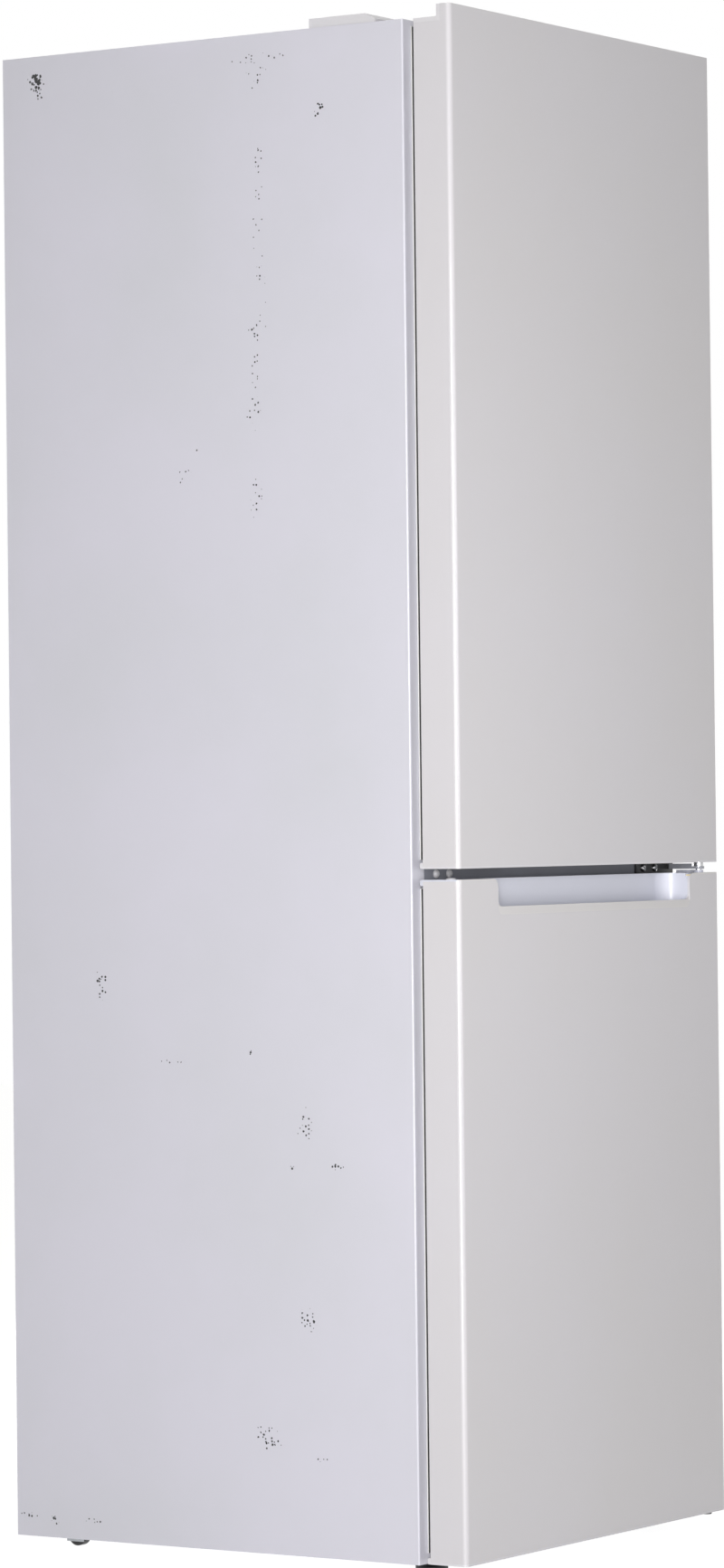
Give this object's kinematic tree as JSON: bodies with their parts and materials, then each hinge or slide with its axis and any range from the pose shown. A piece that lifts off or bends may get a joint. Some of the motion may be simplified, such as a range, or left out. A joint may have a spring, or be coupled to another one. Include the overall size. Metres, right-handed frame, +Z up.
{
  "type": "fridge freezer",
  "caption": "White free-standing fridge freezer: a tall cabinet, fridge above and freezer below, flat doors hinged on the right and a shared hand recess between them.",
  "frame": {"origin": "on the floor, under the middle of the whole appliance's bounding box", "axes": "+X to the right seen from the front, -Y out of the doors, +Z up along the height"},
  "size_m": [0.595, 0.635, 1.8],
  "materials": {
    "white_paint": "gloss",
    "white_plastic": "satin",
    "liner_white": "satin",
    "grey_plastic": "matte",
    "gasket_white": "matte",
    "black_rubber": "matte",
    "black_plastic": "matte",
    "black_paint": "gloss",
    "grey_paint": "satin",
    "zinc_steel": "galvanised",
    "bright_steel": "polished",
    "aluminium": "mill finish",
    "copper": "drawn",
    "foam": "rigid polyurethane foam",
    "shelf_glass": "polished",
    "clear_plastic": "clear",
    "lens_plastic": "opal"
  },
  "bodies": {
    "cabinet": {"air_duct": "liner_white", "back_panel": "grey_paint", "base_pan": "zinc_steel", "bottom_hinge": "black_paint", "cabinet_foam": "foam", "compressor": "black_paint", "compressor_bolts": "zinc_steel", "compressor_deck": "zinc_steel", "compressor_grommets": "black_rubber", "control_box": "white_plastic", "crisper_cover": "shelf_glass", "cross_rail": "grey_paint", "drain_tray": "black_plastic", "evaporator": "aluminium", "evaporator_cover": "liner_white", "fan_motor": "black_plastic", "filter_drier": "copper", "freezer_liner": "liner_white", "fridge_liner": "liner_white", "glass_shelf_1": "shelf_glass", "glass_shelf_2": "shelf_glass", "glass_shelf_3": "shelf_glass", "hinge_pins": "bright_steel", "hinge_screws": "bright_steel", "lamp_lens": "lens_plastic", "middle_hinge": "black_paint", "outer_case": "white_paint", "rail_plugs": "white_plastic", "refrigerant_tubes": "copper", "shelf_trims": "white_plastic", "terminal_cover": "black_plastic", "top_blanking_cover": "white_plastic", "top_hinge": "zinc_steel", "top_hinge_cover": "white_plastic"},
    "upper_door": {"upper_door_skin": "white_paint", "upper_door_top_cap": "white_plastic", "upper_door_bottom_cap": "white_plastic", "upper_door_foam": "foam", "upper_door_liner": "liner_white", "upper_door_gasket": "gasket_white", "door_bin_1": "clear_plastic", "door_bin_2": "clear_plastic", "door_bin_3": "clear_plastic"},
    "lower_door": {"lower_door_skin": "white_paint", "lower_door_top_cap": "white_plastic", "lower_door_bottom_cap": "white_plastic", "lower_door_foam": "foam", "lower_door_liner": "liner_white", "lower_door_gasket": "gasket_white", "hinge_hole_plug": "white_plastic"},
    "crisper": {"crisper_drawer": "clear_plastic"},
    "top_drawer": {"freezer_drawer_1": "clear_plastic"},
    "middle_drawer": {"freezer_drawer_2": "clear_plastic"},
    "bottom_drawer": {"freezer_drawer_3": "clear_plastic"},
    "knob": {"thermostat_knob": "grey_plastic"},
    "fan": {"evaporator_fan": "black_plastic"},
    "left_roller": {"rear_roller_left": "black_plastic"},
    "right_roller": {"rear_roller_right": "black_plastic"},
    "left_foot": {"levelling_foot_left": "black_plastic"},
    "right_foot": {"levelling_foot_right": "black_plastic"}
  },
  "joints": [
    {"name": "upper_door_hinge", "type": "hinge", "parent": "cabinet", "child": "upper_door", "pos_m": [0.2835, -0.2975, 1.3], "axis": [0, 0, 1], "range_deg": [0, 120]},
    {"name": "lower_door_hinge", "type": "hinge", "parent": "cabinet", "child": "lower_door", "pos_m": [0.2835, -0.2975, 0.41], "axis": [0, 0, 1], "range_deg": [0, 120]},
    {"name": "crisper_slide", "type": "slide", "parent": "cabinet", "child": "crisper", "axis": [0, -1, 0], "range_m": [0, 0.212]},
    {"name": "top_drawer_slide", "type": "slide", "parent": "cabinet", "child": "top_drawer", "axis": [0, -1, 0], "range_m": [0, 0.106]},
    {"name": "middle_drawer_slide", "type": "slide", "parent": "cabinet", "child": "middle_drawer", "axis": [0, -1, 0], "range_m": [0, 0.106]},
    {"name": "bottom_drawer_slide", "type": "slide", "parent": "cabinet", "child": "bottom_drawer", "axis": [0, -1, 0], "range_m": [0, 0.106]},
    {"name": "thermostat_turn", "type": "hinge", "parent": "cabinet", "child": "knob", "pos_m": [0.066, -0.0885, 1.7], "axis": [0, 0, 1], "range_deg": [0, 300]},
    {"name": "fan_spin", "type": "hinge", "parent": "cabinet", "child": "fan", "pos_m": [0, 0.207, 0.68225], "axis": [0, 1, 0], "continuous": true},
    {"name": "left_roller_spin", "type": "hinge", "parent": "cabinet", "child": "left_roller", "pos_m": [-0.2212, 0.2815, 0.013], "axis": [1, 0, 0], "continuous": true},
    {"name": "right_roller_spin", "type": "hinge", "parent": "cabinet", "child": "right_roller", "pos_m": [0.2212, 0.2815, 0.013], "axis": [1, 0, 0], "continuous": true},
    {"name": "left_foot_turn", "type": "hinge", "parent": "cabinet", "child": "left_foot", "pos_m": [-0.212, -0.2155, 0.02], "axis": [0, 0, 1], "range_deg": [-360, 360]},
    {"name": "right_foot_turn", "type": "hinge", "parent": "cabinet", "child": "right_foot", "pos_m": [0.212, -0.2155, 0.02], "axis": [0, 0, 1], "range_deg": [-360, 360]}
  ],
  "couplings": [
    {"joint": "crisper_slide", "follows": "upper_door_hinge", "m_per_rad": 0.1},
    {"joint": "top_drawer_slide", "follows": "lower_door_hinge", "m_per_rad": 0.05},
    {"joint": "middle_drawer_slide", "follows": "lower_door_hinge", "m_per_rad": 0.05},
    {"joint": "bottom_drawer_slide", "follows": "lower_door_hinge", "m_per_rad": 0.05}
  ]
}
